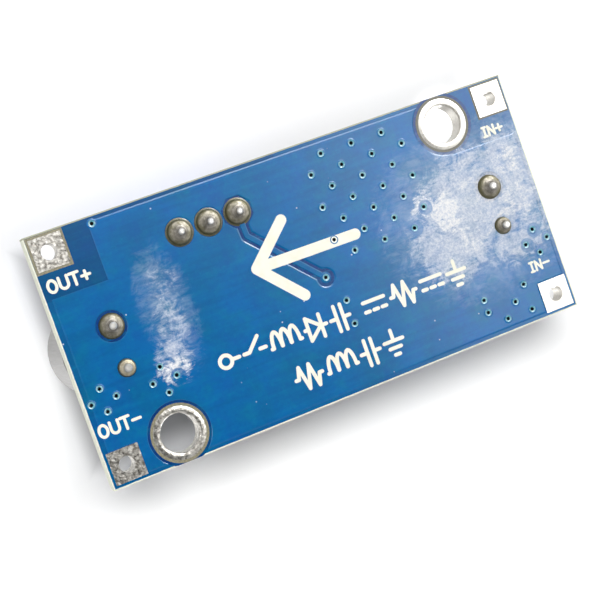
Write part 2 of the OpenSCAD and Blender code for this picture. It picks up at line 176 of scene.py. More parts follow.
def new_object(name, bm, material=None):
    """Makes an object of a bmesh, which is then freed."""
    mesh = bpy.data.meshes.new(name)
    bm.to_mesh(mesh)
    bm.free()
    obj = bpy.data.objects.new(name, mesh)
    bpy.context.scene.collection.objects.link(obj)
    if material:
        mesh.materials.append(material)
    return obj


def add_object(name, bm, material=None):
    """The same with its faces turned outward."""
    bmesh.ops.recalc_face_normals(bm, faces=bm.faces)
    return new_object(name, bm, material)


def piece(name, bm, material):
    """A visible piece that rides on the module's own body."""
    obj = add_object(name, bm, material)
    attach(obj, BODY)
    return obj


def cut(obj, cutters):
    """Cuts the closed solids of a bmesh out of an object's mesh."""
    cutter = add_object("cutters", cutters)
    tool = obj.modifiers.new("cut", "BOOLEAN")
    tool.operation = "DIFFERENCE"
    tool.solver = "EXACT"
    tool.use_self = True
    tool.object = cutter
    graph = bpy.context.evaluated_depsgraph_get()
    mesh = bpy.data.meshes.new_from_object(obj.evaluated_get(graph))
    obj.modifiers.clear()
    old = obj.data
    obj.data = mesh
    mesh.name = obj.name
    bpy.data.meshes.remove(old)
    bpy.data.objects.remove(cutter)


# ---- materials ----

def linear(r, g, b):
    """A screen colour of 0 to 255 as the shader wants it."""
    def part(c):
        c /= 255
        return c / 12.92 if c <= 0.04045 else ((c + 0.055) / 1.055) ** 2.4
    return (part(r), part(g), part(b), 1.0)


class Tree:
    """A node tree that is built anew."""

    def __init__(self, tree):
        self.tree = tree
        tree.nodes.clear()

    def node(self, kind, **props):
        made = self.tree.nodes.new(kind)
        for key, value in props.items():
            setattr(made, key, value)
        return made

    def plug(self, socket, value):
        """Links a socket's input to another node's output, or sets its value."""
        if isinstance(value, bpy.types.NodeSocket):
            self.tree.links.new(value, socket)
        elif value is not None:
            socket.default_value = value

    def math(self, operation, a, b=None, c=None):
        made = self.node("ShaderNodeMath", operation=operation)
        for socket, value in zip(made.inputs, (a, b, c)):
            self.plug(socket, value)
        return made.outputs[0]

    def choose(self, factor, a, b):
        """Shader a where factor is 0 and b where it is 1."""
        made = self.node("ShaderNodeMixShader")
        for socket, value in zip(made.inputs, (factor, a, b)):
            self.plug(socket, value)
        return made.outputs[0]


class Graph(Tree):
    """One material's nodes. Textures use the frame's own millimetres."""

    def __init__(self, name):
        self.material = bpy.data.materials.new(name)
        self.material.use_nodes = True
        super().__init__(self.material.node_tree)
        self.output = self.node("ShaderNodeOutputMaterial")
        self.place = None

    def coords(self, stretch=(1, 1, 1)):
        """The place in millimetres, each axis scaled."""
        if self.place is None:
            self.place = self.node("ShaderNodeTexCoord").outputs["Object"]
        scaled = self.node("ShaderNodeMapping")
        self.plug(scaled.inputs["Vector"], self.place)
        scaled.inputs["Scale"].default_value = [s / MM for s in stretch]
        return scaled.outputs["Vector"]

    def axis(self, letter):
        """One coordinate of the place, in millimetres."""
        parts = self.node("ShaderNodeSeparateXYZ")
        self.plug(parts.inputs[0], self.coords())
        return parts.outputs[letter]

    def noise(self, size, detail=4, rough=0.55, stretch=(1, 1, 1), warp=0.0):
        """Soft noise with features of about the given size."""
        made = self.node("ShaderNodeTexNoise")
        self.plug(made.inputs["Vector"], self.coords(stretch))
        made.inputs["Scale"].default_value = 1 / size
        made.inputs["Detail"].default_value = detail
        made.inputs["Roughness"].default_value = rough
        made.inputs["Distortion"].default_value = warp
        return made.outputs["Fac"]

    def cells(self, size):
        """Distance to the nearest of points scattered at about the given spacing."""
        made = self.node("ShaderNodeTexVoronoi")
        self.plug(made.inputs["Vector"], self.coords())
        made.inputs["Scale"].default_value = 1 / size
        return made.outputs["Distance"]

    def span(self, value, lo, hi, to_lo=0.0, to_hi=1.0, smooth=True):
        """Value mapped from lo..hi to to_lo..to_hi and held at the ends."""
        made = self.node("ShaderNodeMapRange")
        made.interpolation_type = "SMOOTHSTEP" if smooth else "LINEAR"
        self.plug(made.inputs["Value"], value)
        for key, number in zip(("From Min", "From Max", "To Min", "To Max"),
                               (lo, hi, to_lo, to_hi)):
            made.inputs[key].default_value = number
        return made.outputs["Result"]

    def mix(self, factor, a, b):
        """Colour a where factor is 0 and b where it is 1."""
        made = self.node("ShaderNodeMix", data_type="RGBA")
        self.plug(made.inputs["Factor"], factor)
        self.plug(made.inputs[6], a)
        self.plug(made.inputs[7], b)
        return made.outputs[2]

    def bump(self, height, strength, distance, below=None):
        """Height in units of distance, which is in millimetres."""
        made = self.node("ShaderNodeBump")
        self.plug(made.inputs["Height"], height)
        made.inputs["Strength"].default_value = strength
        made.inputs["Distance"].default_value = distance * MM
        self.plug(made.inputs["Normal"], below)
        return made.outputs["Normal"]

    def surface(self, color, roughness, metallic=0.0, normal=None, **sockets):
        """Ends the material in one shader; sockets set its plain numbers."""
        shader = self.node("ShaderNodeBsdfPrincipled")
        self.plug(shader.inputs["Base Color"], color)
        self.plug(shader.inputs["Roughness"], roughness)
        self.plug(shader.inputs["Metallic"], metallic)
        self.plug(shader.inputs["Normal"], normal)
        for key, value in sockets.items():
            shader.inputs[key.replace("_", " ")].default_value = value
        self.tree.links.new(shader.outputs[0], self.output.inputs["Surface"])
        return self.material


def blob(g, x, y, rx, ry, strength):
    """A soft-edged oval patch on the board, 1 in the middle and 0 at its edge."""
    dx = g.math("DIVIDE", g.math("SUBTRACT", g.axis("X"), x), rx)
    dy = g.math("DIVIDE", g.math("SUBTRACT", g.axis("Y"), y), ry)
    far = g.math("ADD", g.math("MULTIPLY", dx, dx), g.math("MULTIPLY", dy, dy))
    return g.span(far, 0.0, 1.0, strength, 0.0)


# Flux left on the solder side, with painted sheen and painted glare laid on it: middle, half widths
# and strength of each patch. The veil is thin flux and painted sheen, the film hides the mask, and
# the crusts are nearly white flux and painted glare.
FLUX_VEIL_AND_SHEEN = [
    (-15.0, 0.4, 10.5, 9.5, 0.9),
    (-20.5, 1.0, 5.0, 9.0, 0.9),
    (12.6, 1.4, 3.0, 6.9, 0.62),
]
FLUX_FILM = [
    (-15.4, 1.2, 6.4, 5.6, 1.0),
    (-19.4, 2.0, 4.8, 5.4, 0.95),
    (-12.4, -1.4, 5.0, 4.7, 0.92),
    (-18.0, -2.4, 5.0, 4.0, 0.7),
    (13.4, -2.4, 2.0, 2.6, 0.7),
    (12.7, 0.2, 1.9, 2.9, 0.46),
    (12.3, 3.0, 2.0, 3.2, 0.24),
]
FLUX_CRUSTS_AND_GLARE = [
    (-12.6, 0.8, 2.0, 2.8, 1.0),
    (-11.2, 2.3, 1.9, 2.0, 0.8),
    (-18.2, 0.0, 1.9, 2.2, 0.7),
    (-19.9, 3.1, 1.8, 2.4, 0.75),
    (-14.4, -1.6, 2.4, 2.0, 0.6),
    (13.5, -3.3, 2.3, 1.5, 0.9),
    (-16.2, 2.6, 3.2, 3.0, 0.55),
    (-19.6, -0.4, 2.4, 3.4, 0.6),
]


def patches(g, places):
    """The strongest of several soft patches."""
    most = None
    for place in places:
        one = blob(g, *place)
        most = one if most is None else g.math("MAXIMUM", most, one)
    return most


def flux_and_sheen(g):
    """How thick the veil, the film and the crusts of dried flux are, each 0 to 1; the veil also
    carries painted sheen and the crusts painted glare.
    """
    # little of it lies on the vias within its two main patches
    halos = [(x - 0.12, y - 0.1, 0.85, 0.85, 1.0) for x, y, _ in VIAS
             if (x + 14.5) ** 2 + y * y < 60 or (x - 13) ** 2 + (y + 4) ** 2 < 4]
    clean = g.span(patches(g, halos), 0.25, 0.55, 1.0, 0.15)
    clouds = g.span(g.noise(1.5, 7, 0.7, warp=1.2), 0.32, 0.68, smooth=False)
    wiped = g.span(g.noise(0.4, 5, 0.7, stretch=(0.35, 1.2, 1), warp=0.5), 0.3, 0.7, smooth=False)
    grain = g.span(g.noise(0.2, 3, 0.8), 0.34, 0.66, 0.45, 1.0)
    uneven = g.math("ADD", g.math("MULTIPLY", clouds, 1.2), g.math("MULTIPLY", wiped, 0.8))
    layers = []
    # what the patch and the unevenness count for, what is taken off, and the range that is left
    for places, weight, rough, shift, lo, hi in ((FLUX_VEIL_AND_SHEEN, 1.0, 0.5, 0.5, 0.0, 1.2),
                                                 (FLUX_FILM, 1.5, 1.0, 1.15, 0.0, 1.55),
                                                 (FLUX_CRUSTS_AND_GLARE, 1.4, 1.0, 1.5, 0.2, 1.0)):
        layer = patches(g, places)
        ragged = g.math("MULTIPLY_ADD", uneven, rough, g.math("MULTIPLY", layer, weight))
        ragged = g.span(g.math("SUBTRACT", ragged, shift), lo, hi)
        layers.append(g.math("MULTIPLY", ragged, g.span(layer, 0.0, 0.25)))
    grain = g.math("MULTIPLY", grain, clean)
    veil_and_sheen, film, crust_and_glare = layers
    return veil_and_sheen, g.math("MULTIPLY", film, grain), g.math("MULTIPLY", crust_and_glare, grain)


def two_tone(g, color, noise, high, low):
    """Tints a colour where a noise is high and where it is low.
    Each is the range over which it changes, how strong it gets, and the tint."""
    lo, hi, most, tint = high
    color = g.mix(g.span(noise, lo, hi, 0.0, most), color, tint)
    lo, hi, most, tint = low
    return g.mix(g.span(noise, lo, hi, most, 0.0), color, tint)


def mask_coat(name, deep, light, fluxed=True):
    """Blue solder mask: mottled colour, fine ripple and gloss, with flux, painted sheen and painted
    glare below the board.
    """
    g = Graph(name)
    mottle = g.span(g.noise(4.5, 4, 0.55, warp=0.4), 0.32, 0.68)
    color = g.mix(mottle, deep, light)
    ribs = g.noise(0.55, 4, 0.6, stretch=(0.07, 1, 1))
    color = two_tone(g, color, ribs, (0.5, 0.7, 0.4, linear(0, 118, 170)),
                     (0.3, 0.5, 0.35, linear(0, 86, 142)))
    color = two_tone(g, color, g.noise(2.4, 3, 0.5), (0.52, 0.72, 0.35, linear(0, 120, 150)),
                     (0.28, 0.48, 0.35, linear(16, 82, 166)))
    color = two_tone(g, color, g.noise(0.4, 5, 0.75), (0.5, 0.72, 0.4, linear(0, 124, 166)),
                     (0.28, 0.5, 0.4, linear(0, 84, 150)))
    specks = g.span(g.cells(0.9), 0.05, 0.09, 1.0, 0.0)
    chance = g.span(g.noise(3.1, 2), 0.56, 0.6)
    speck = g.math("MULTIPLY", g.math("MULTIPLY", specks, chance), 0.7)
    color = g.mix(speck, color, linear(225, 235, 240))
    ripple = g.bump(g.noise(1.6, 3), 0.25, 0.02)
    ripple = g.bump(g.noise(0.35, 2), 0.08, 0.01, ripple)
    ripple = g.bump(ribs, 0.3, 0.015, ripple)
    if not fluxed:
        return g, color, 0.2, ripple
    below = g.math("LESS_THAN", g.axis("Z"), TOP / 2)
    veil_and_sheen, film, crust_and_glare = [g.math("MULTIPLY", layer, below) for layer in flux_and_sheen(g)]
    # the pale veil and the white crusts are flux with painted sheen and painted glare
    color = g.mix(g.math("MULTIPLY", veil_and_sheen, 0.36), color, linear(190, 208, 230))
    color = g.mix(g.math("MULTIPLY", film, 0.95), color, linear(222, 226, 234))
    color = g.mix(g.math("MULTIPLY", crust_and_glare, 0.95), color, linear(248, 248, 248))
    thick = g.math("ADD", film, crust_and_glare)
    ripple = g.bump(g.math("MULTIPLY", thick, g.noise(0.16, 4, 0.7)), 0.6, 0.04, ripple)
    roughness = g.span(film, 0.0, 0.8, 0.2, 0.55)
    return g, color, roughness, ripple


def mask_material(name, deep, light, fluxed=True):
    g, color, roughness, ripple = mask_coat(name, deep, light, fluxed)
    return g.surface(color, roughness, normal=ripple, Specular_IOR_Level=MASK_SPECULAR)


MASK_DEEP = linear(0, 100, 154)
MASK_LIGHT = linear(0, 104, 174)
MASK_SPECULAR = 0.4


def make_board_material():
    """Mask on both faces, bare glass-epoxy on the cut sides and along the edges."""
    g, color, roughness, ripple = mask_coat(
        "board_mask_mat", linear(0, 92, 144), linear(0, 93, 156))
    x, y, z = g.axis("X"), g.axis("Y"), g.axis("Z")
    # the bare corner by the positive output pad has no copper under it and looks darker
    darker = g.math("MULTIPLY", g.span(y, 5.0, 5.2, 0.0, 0.45), g.math("GREATER_THAN", x, 0.0))
    color = g.mix(darker, color, linear(0, 56, 108))
    # a strip without mask wanders along the edges, and the walls have none
    side_x = g.math("SUBTRACT", HALF_L, g.math("ABSOLUTE", x))
    side_y = g.math("SUBTRACT", HALF_W, g.math("ABSOLUTE", y))
    near = g.math("MINIMUM", side_x, side_y)
    wander = g.math("MULTIPLY", g.math("SUBTRACT", g.noise(0.8, 3), 0.5), 0.05)
    near = g.math("ADD", near, wander)
    strip = g.span(near, 0.09, 0.12, 1.0, 0.0)
    off_middle = g.math("ABSOLUTE", g.math("SUBTRACT", z, TOP / 2))
    wall = g.math("LESS_THAN", off_middle, TOP / 2 - 0.02)
    bare = g.math("MAXIMUM", strip, wall)
    fibres = g.span(g.noise(0.1, 5, 0.7, stretch=(1, 1, 9)), 0.3, 0.7)
    laminate = g.mix(fibres, linear(234, 236, 212), linear(248, 250, 236))
    # the bare strip along the edge at +Y is darker: painted shade
    painted_shade_edge = g.math("MULTIPLY", g.math("GREATER_THAN", y, HALF_W - 0.13), 0.75)
    laminate = g.mix(painted_shade_edge, laminate, linear(150, 150, 112))
    color = g.mix(bare, color, laminate)
    roughness = g.math("MAXIMUM", roughness, g.math("MULTIPLY", bare, 0.6))
    return g.surface(color, roughness, normal=ripple, Specular_IOR_Level=MASK_SPECULAR)


def make_lip_material():
    """Thin glossy mask over the copper of a via's mouth, pale partly from the tin below and partly
    as painted highlight.
    """
    g = Graph("via_lip_mat")
    tin_and_highlight = g.span(g.noise(0.3, 3), 0.3, 0.7)
    # pale where tin shows through thin mask, and as painted highlight
    color = g.mix(tin_and_highlight, linear(72, 156, 176), linear(164, 206, 214))
    roughness = g.span(tin_and_highlight, 0.0, 1.0, 0.16, 0.26)
    normal = g.bump(g.noise(0.2, 2), 0.15, 0.01)
    return g.surface(color, roughness, normal=normal, Specular_IOR_Level=0.5)


def make_via_material():
    """Tented via: mask over the copper rim and a dark, unlit hole."""
    g = Graph("via_mat")
    z = g.axis("Z")
    depth = g.math("MINIMUM", g.math("ADD", z, 0.03), g.math("SUBTRACT", TOP, z))
    inside = g.span(depth, 0.005, 0.03)
    color = g.mix(inside, linear(20, 122, 150), linear(8, 20, 30))
    return g.surface(color, g.math("ADD", g.math("MULTIPLY", inside, 0.7), 0.2))


def make_laminate_material():
    """Bare glass-epoxy where the mask is left open round a pad or a ring."""
    g = Graph("bare_laminate_mat")
    weave = g.noise(0.14, 4, 0.6)
    color = g.mix(g.span(weave, 0.3, 0.7), linear(116, 112, 90), linear(150, 144, 116))
    # greyer towards the input end: painted shade round the input pad and ring
    color = g.mix(g.span(g.axis("X"), -6.0, 6.0, 0.6, 0.0), color, linear(70, 74, 76))
    return g.surface(color, 0.5, normal=g.bump(weave, 0.3, 0.01))


def make_ink_material():
    g = Graph("white_ink_mat")
    patchy = g.span(g.noise(1.1, 4), 0.3, 0.7)
    color = g.mix(patchy, linear(247, 245, 226), linear(252, 250, 238))
    return g.surface(color, 0.5, normal=g.bump(g.noise(0.12, 3), 0.3, 0.01))


def metal(name, low, high, rough_low, rough_high, grain=0.5, dent=0.03, strength=0.5):
    """Metal with a mottled colour, uneven gloss and a surface that isn't quite flat."""
    g = Graph(name)
    mottle = g.noise(grain, 5, 0.6)
    color = g.mix(g.span(mottle, 0.3, 0.7), low, high)
    roughness = g.span(g.noise(grain * 0.6, 4, 0.6), 0.3, 0.7, rough_low, rough_high)
    normal = g.bump(g.noise(grain * 1.6, 3, 0.5), strength, dent)
    return g.surface(color, roughness, 1.0, normal)


def plastic(name, low, high, roughness, grain=0.12, strength=0.2):
    """Moulded plastic with a fine texture and a slight change of colour."""
    g = Graph(name)
    fine = g.noise(grain, 4, 0.6)
    color = g.mix(g.span(g.noise(2.5, 4), 0.3, 0.7), low, high)
    gloss = g.span(fine, 0.3, 0.7, roughness - 0.05, roughness + 0.08)
    return g.surface(color, gloss, normal=g.bump(fine, strength, 0.02))


def make_can_material():
    """Drawn aluminium with a printed dark segment over the negative lead."""
    g = Graph("can_aluminium_mat")
    z = g.axis("Z")
    brushed = g.noise(0.22, 4, 0.5, stretch=(1, 1, 0.05))
    color = g.mix(g.span(brushed, 0.2, 0.8), linear(124, 123, 122), linear(146, 145, 143))
    top_z = box_mm("output_can")[1].z
    on_top = g.math("GREATER_THAN", z, top_z - 0.1)
    negative = g.math("LESS_THAN", g.axis("Y"), -1.5)
    inked = g.math("MULTIPLY", on_top, negative)
    color = g.mix(inked, color, linear(26, 26, 30))
    metallic = g.math("SUBTRACT", 1.0, inked)
    roughness = g.span(brushed, 0.3, 0.7, 0.32, 0.48)
    return g.surface(color, roughness, metallic, g.bump(brushed, 0.15, 0.01))


def make_solder_material():
    """Dull solder, brown with flux at the foot of each joint and greyer towards the lead."""
    g = Graph("solder_mat")
    mottle = g.noise(0.4, 5, 0.6)
    down = g.math("MULTIPLY", g.axis("Z"), -1.0)
    height = g.math("ADD", down, g.math("MULTIPLY", mottle, 0.3))
    rings = g.math("SINE", g.math("MULTIPLY", height, 60.0))
    grey = g.mix(g.span(mottle, 0.3, 0.7), linear(104, 101, 95), linear(152, 147, 139))
    grey = g.mix(g.span(rings, 0.2, 0.9, 0.0, 0.35), grey, linear(84, 82, 70))
    # the ground joints at the output end are cream, and those above the board are bright
    grounded = g.math("MULTIPLY", g.math("LESS_THAN", g.axis("Y"), 0.0),
                      g.span(g.axis("X"), -1.0, 1.0, 0.1, 0.55))
    grey = g.mix(grounded, grey, linear(216, 204, 176))
    color = g.mix(g.span(height, 0.36, 0.74), linear(104, 100, 72), grey)
    color = g.mix(g.math("GREATER_THAN", g.axis("Z"), TOP), color, linear(190, 188, 182))
    roughness = g.span(g.noise(0.24, 4, 0.6), 0.3, 0.7, 0.42, 0.64)
    normal = g.bump(rings, 0.25, 0.02, g.bump(g.noise(0.5, 4, 0.6), 0.5, 0.05))
    return g.surface(color, roughness, 0.9, normal)


def make_tinned_copper_material():
    """Dipped tin, with darker mottling and deeper dents towards the output end and paler towards
    the input end.
    """
    g = Graph("tinned_copper_mat")
    # darker mottling and deeper dents towards the output end
    toward_output = g.span(g.axis("X"), -12.0, 8.0, 0.3, 1.0)
    mottle = g.span(g.noise(0.26, 5, 0.6), 0.3, 0.7, 1.0, 0.0)
    color = g.mix(g.math("MULTIPLY", mottle, toward_output), linear(216, 213, 206), linear(126, 122, 114))
    roughness = g.span(g.noise(0.16, 4, 0.6), 0.3, 0.7, 0.26, 0.5)
    dents = g.math("MULTIPLY", g.noise(0.42, 3, 0.5), toward_output)
    return g.surface(color, roughness, 1.0, g.bump(dents, 0.55, 0.07))


def make_moulding_material():
    """Black epoxy with fine pits; the diode carries a printed grey band at one end."""
    g = Graph("moulding_black_mat")
    fine = g.noise(0.12, 4, 0.6)
    color = g.mix(g.span(g.noise(2.5, 4), 0.3, 0.7), linear(28, 28, 30), linear(42, 42, 44))
    lo, hi = box_mm("diode_body")
    x, y, z = g.axis("X"), g.axis("Y"), g.axis("Z")
    band = g.math("GREATER_THAN", x, hi.x - 1.15)
    for along, low, high in ((x, lo.x - 0.1, hi.x - 0.55), (y, lo.y - 0.1, hi.y + 0.1),
                             (z, hi.z - 0.04, hi.z + 0.1)):
        band = g.math("MULTIPLY", band, g.math("GREATER_THAN", along, low))
        band = g.math("MULTIPLY", band, g.math("LESS_THAN", along, high))
    band = g.math("MULTIPLY", band, g.span(fine, 0.2, 0.5, 0.75, 1.0))
    color = g.mix(band, color, linear(206, 206, 202))
    gloss = g.span(fine, 0.3, 0.7, 0.42, 0.58)
    return g.surface(color, gloss, normal=g.bump(fine, 0.3, 0.02))


MATERIALS = {
    "board_mask": make_board_material(),
    "tinned_copper": make_tinned_copper_material(),
    "solder": make_solder_material(),
    "tinned_lead": metal("tinned_lead_mat", linear(190, 188, 182), linear(214, 212, 208),
                         0.34, 0.46, grain=0.6, dent=0.01, strength=0.15),
    "moulding_black": make_moulding_material(),
    "silicon": plastic("silicon_mat", linear(70, 72, 80), linear(90, 92, 98), 0.3),
    "ferrite": plastic("ferrite_mat", linear(44, 44, 48), linear(66, 66, 70), 0.55,
                       grain=0.25, strength=0.4),
    "copper_wire": metal("copper_wire_mat", linear(176, 98, 50), linear(206, 124, 70), 0.2, 0.35),
    "adhesive": plastic("adhesive_mat", linear(150, 140, 118), linear(178, 168, 142), 0.4,
                        grain=0.6),
    "can_aluminium": make_can_material(),
    "black_rubber": plastic("black_rubber_mat", linear(24, 23, 23), linear(36, 35, 35), 0.7),
    "foil_roll": plastic("foil_roll_mat", linear(196, 190, 170), linear(214, 208, 190), 0.6),
    "blue_plastic": plastic("blue_plastic_mat", linear(16, 72, 170), linear(24, 84, 184), 0.35),
    "potting": plastic("potting_mat", linear(96, 84, 60), linear(120, 106, 78), 0.35, grain=0.5),
    "white_ceramic": plastic("white_ceramic_mat", linear(228, 226, 218), linear(240, 238, 232),
                             0.5),
    "resistive_track": plastic("resistive_track_mat", linear(38, 36, 34), linear(52, 50, 46), 0.5),
    "red_rubber": plastic("red_rubber_mat", linear(120, 34, 24), linear(140, 44, 32), 0.6),
    "brass_screw": metal("brass_screw_mat", linear(206, 168, 92), linear(228, 194, 118), 0.24, 0.36,
                         grain=0.4, dent=0.01, strength=0.2),
    "white_plastic": plastic("white_plastic_mat", linear(226, 224, 214), linear(238, 236, 228),
                             0.45),
    "bronze_spring": metal("bronze_spring_mat", linear(196, 150, 96), linear(216, 172, 116),
                           0.2, 0.34),
}
POUR = mask_material("pour_mask_mat", MASK_DEEP, MASK_LIGHT)
TOP_POUR = mask_material("top_pour_mask_mat", MASK_DEEP, MASK_LIGHT, fluxed=False)
LIP = make_lip_material()
# darker mask on the floors of the narrow gaps in the copper: painted shade
GAP_SHADE = mask_material("gap_shade_mask_mat", linear(4, 50, 112), linear(14, 58, 124))
VIA_FINISH = make_via_material()
BARE = make_laminate_material()
INK = make_ink_material()
FLUX_BROWN = plastic("flux_brown_mat", linear(70, 72, 56), linear(108, 104, 74), 0.3, grain=0.3,
                     strength=0.4)


def dress_nodes():
    """Gives every CAD node the finish that the record names for it."""
    for part in frame["record"]["subparts"]:
        mesh = frame["nodes"][part["node"]].data
        mesh.materials.clear()
        mesh.materials.append(MATERIALS[part["material_slot"]])
    frame["nodes"]["plated_vias"].material_slots[0].material = VIA_FINISH


# ---- the module's printed and etched surfaces ----

SHEET_T = 0.05                       # copper and mask above the bare board
INK_T = 0.012                        # ink above the mask
EDGE_GAP = 0.38                      # from the copper to the board's edges
OUTPUT_EDGE_GAP = 0.55               # and to the output end on the solder side
TRACE_HALF = 0.17
CHANNEL_HALF = 0.46                  # half the gap that the feedback trace runs in
TRACE_VIA_GAP = 0.74                 # radius of the gap round the via where it ends
CAP_GAP = 0.22                       # round the capacitors' positive joints
RING_GAP = 0.42
FLOOR_LAP = 0.01                     # how far a gap's floor reaches under its walls
STAGGER = 0.0004                     # keeps the faces of crossing strokes apart

# Sections, as (how far grown, height). The outer edge of the copper slopes, and a cut in it
# gets wider towards the viewer, since mask flows over its edges.
RIM = [(-0.17, -SHEET_T), (-0.12, -0.046), (-0.02, -0.012), (0.0, 0.004)]
CUT = [(0.2, -0.075), (0.15, -0.051), (0.11, -0.045), (0.02, -0.013), (0.0, 0.03)]
VIA_CUT = [(g * 0.6, z) for g, z in CUT]
STEEP = [(0.15, -0.075), (0.1, -0.051), (0.05, -0.047), (0.0, -0.02), (0.0, 0.03)]
SHARP = [(0.06, -0.075), (0.04, -0.051), (0.0, -0.03), (0.0, 0.03)]
TRACE_SECTION = [(0.0, -SHEET_T), (0.05, -0.04), (0.08, 0.004)]

# Sections of rings, as (radius, height): the raised mask round a via, its thin mouth, and
# the ring that ends the feedback trace.
VIA_LIP = [(0.41, 0.004), (0.41, -0.049), (0.36, -0.062), (0.32, -0.07), (0.29, -0.07),
           (0.29, 0.004)]
VIA_MOUTH = [(0.29, -0.0305), (0.29, -0.0705), (0.26, -0.062), (0.2, -0.036), (0.16, -0.0315),
             (0.16, -0.0305)]
TRACE_RING = [(VIA_R, 0.004), (VIA_R + 0.2, 0.004), (VIA_R + 0.14, -SHEET_T - 0.002),
              (VIA_R, -SHEET_T - 0.002)]

# Cutters that only have to pass a thin piece, on the solder side and on the component side.
PAST_SOLDER_SIDE = [(0, -1), (0, 1)]
PAST_TOP = [(0, -1), (0, TOP + 1)]

# The feedback trace leaves the trimmer's first joint and ends at a via.
FIRST_JOINT = TRIMMER_JOINTS[0][:2]
TRACE = [FIRST_JOINT, (FIRST_JOINT[0] - 0.09, FIRST_JOINT[1] - 2.1), (-0.76, -0.6)]
TRIMMER_GAPS = [octagon(*FIRST_JOINT, 1.26)]
TRIMMER_GAPS += [disc(x, y, 1.2, 40) for x, y, _ in TRIMMER_JOINTS[1:]]


def underside_pour():
    """The ground copper under its mask, with every clearance cut out of it."""
    sheet = bmesh.new()
    loft(sheet, rect(-HALF_L + EDGE_GAP, -HALF_W + EDGE_GAP,
                     HALF_L - OUTPUT_EDGE_GAP, HALF_W - EDGE_GAP), RIM)
    cutters = bmesh.new()
    for x, y, _ in VIAS:
        loft(cutters, disc(x, y, VIA_R, 16), VIA_CUT)
    for x, y, r in RINGS:
        loft(cutters, disc(x, y, r + RING_GAP, 64), STEEP if x > 0 else CUT)
    for gap in TRIMMER_GAPS:
        loft(cutters, gap, STEEP)
    for a, b in zip(TRACE, TRACE[1:]):
        loft(cutters, capsule(a, b, CHANNEL_HALF), CUT)
    loft(cutters, disc(*TRACE[-1], TRACE_VIA_GAP, 24), CUT)
    for x, y, r in CAP_JOINTS:
        loft(cutters, disc(x, y, r + (CAP_GAP if y > 0 else 0.0), 32), STEEP)
    for x, y, r in PADS:
        loft(cutters, square(x, y, r), CUT)
    # the bare corners of the positive pads, at the output and the input end
    loft(cutters, rect(16.25, 5.25, HALF_L + 1, HALF_W + 1), SHARP)
    loft(cutters, rect(-HALF_L - 1, 5.4, -RING_X, HALF_W + 1), CUT)
    cut(piece("ground_pour", sheet, POUR), cutters)


def gap_shade_floors():
    """The floors of the narrow gaps in the ground copper, painted darker as shade."""
    bm = bmesh.new()
    floors = [disc(x, y, r + RING_GAP + FLOOR_LAP, 64) for x, y, r in RINGS]
    floors += TRIMMER_GAPS
    floors += [capsule(a, b, CHANNEL_HALF + FLOOR_LAP) for a, b in zip(TRACE, TRACE[1:])]
    floors.append(disc(*TRACE[-1], TRACE_VIA_GAP + FLOOR_LAP, 24))
    floors += [disc(x, y, r + CAP_GAP, 32) for x, y, r in CAP_JOINTS if y > 0]
    for i, gap in enumerate(floors):
        loft(bm, on_board(gap), [(0.03, -0.004 - STAGGER * i), (0.03, 0.003)])
    # the gap floors carry painted shade
    floor = piece("gap_shade_floors", bm, GAP_SHADE)
    holes = bmesh.new()
    for x, y, r in RINGS:
        loft(holes, disc(x, y, r - 0.3, 48), PAST_SOLDER_SIDE)
    for x, y, r in VIAS:
        loft(holes, disc(x, y, r, 16), PAST_SOLDER_SIDE)
    cut(floor, holes)


def feedback_trace():
    bm = bmesh.new()
    before, end = Vector(TRACE[-2]), Vector(TRACE[-1])
    # the last stroke stops inside the ring round the via
    stop = tuple(end - (end - before).normalized() * (VIA_R + TRACE_HALF + 0.08))
    corners = TRACE[:-1] + [stop]
    for i, (a, b) in enumerate(zip(corners, corners[1:])):
        loft(bm, capsule(a, b, TRACE_HALF), [(g, z - 0.001 * i) for g, z in TRACE_SECTION])
    tube(bm, *TRACE[-1], TRACE_RING, 24)
    piece("feedback_trace", bm, POUR)


def via_lips():
    """The raised mask round each via on the solder side, and its thin mouth, made pale partly as
    painted highlight.
    """
    lips, mouths = bmesh.new(), bmesh.new()
    for x, y, _ in VIAS:
        tube(lips, x, y, VIA_LIP, 20)
        tube(mouths, x, y, VIA_MOUTH, 20)
    piece("via_lips", lips, POUR)
    piece("via_mouths", mouths, LIP)


def bare_windows():
    """Open mask round the positive pads and both rings."""
    bm = bmesh.new()
    for x, y, r in PADS:
        if y > 0:
            wider = 0.2 if x > 0 else 0.15
            loft(bm, on_board(square(x, y, r)), [(wider, -0.008), (wider, 0.004)])
    for x, y, r in RINGS:
        loft(bm, on_board(disc(x, y, r + 0.2, 64)), [(0, -0.02), (0, 0.004)])
    windows = piece("mask_windows", bm, BARE)
    holes = bmesh.new()
    for x, y, r in PADS + RINGS:
        loft(holes, disc(x, y, r - 0.4, 48), PAST_SOLDER_SIDE)
    cut(windows, holes)


def flux_rings():
    """Brown flux pooled round the trimmer's leads."""
    bm = bmesh.new()
    for x, y, r in TRIMMER_JOINTS:
        tube(bm, x, y, [(r - 0.02, 0.003), (r - 0.02, -0.05), (r + 0.06, -0.035),
                        (r + 0.12, -0.012), (r + 0.12, 0.003)])
    piece("flux_rings", bm, FLUX_BROWN)


def strokes(bm, lines, at, half, z0, z1, size=1.0, flip=1.0):
    """Adds printed lines, each a list of points in units of the glyph's height.
    With flip 1 they read from the solder side, with -1 from the component side."""
    count = 0
    for line in lines:
        for a, b in zip(line, line[1:]):
            p = (at[0] - flip * a[0] * size, at[1] + a[1] * size)
            q = (at[0] - flip * b[0] * size, at[1] + b[1] * size)
            loft(bm, capsule(p, q, half, 6), [(0, z0 - STAGGER * (count % 7)), (0, z1)])
            count += 1


def arc(cx, cy, rx, ry, a0, a1, steps=10):
    """Points of an oval arc between two angles in degrees."""
    angles = [math.radians(a0 + (a1 - a0) * i / steps) for i in range(steps + 1)]
    return [(cx + rx * math.cos(a), cy + ry * math.sin(a)) for a in angles]


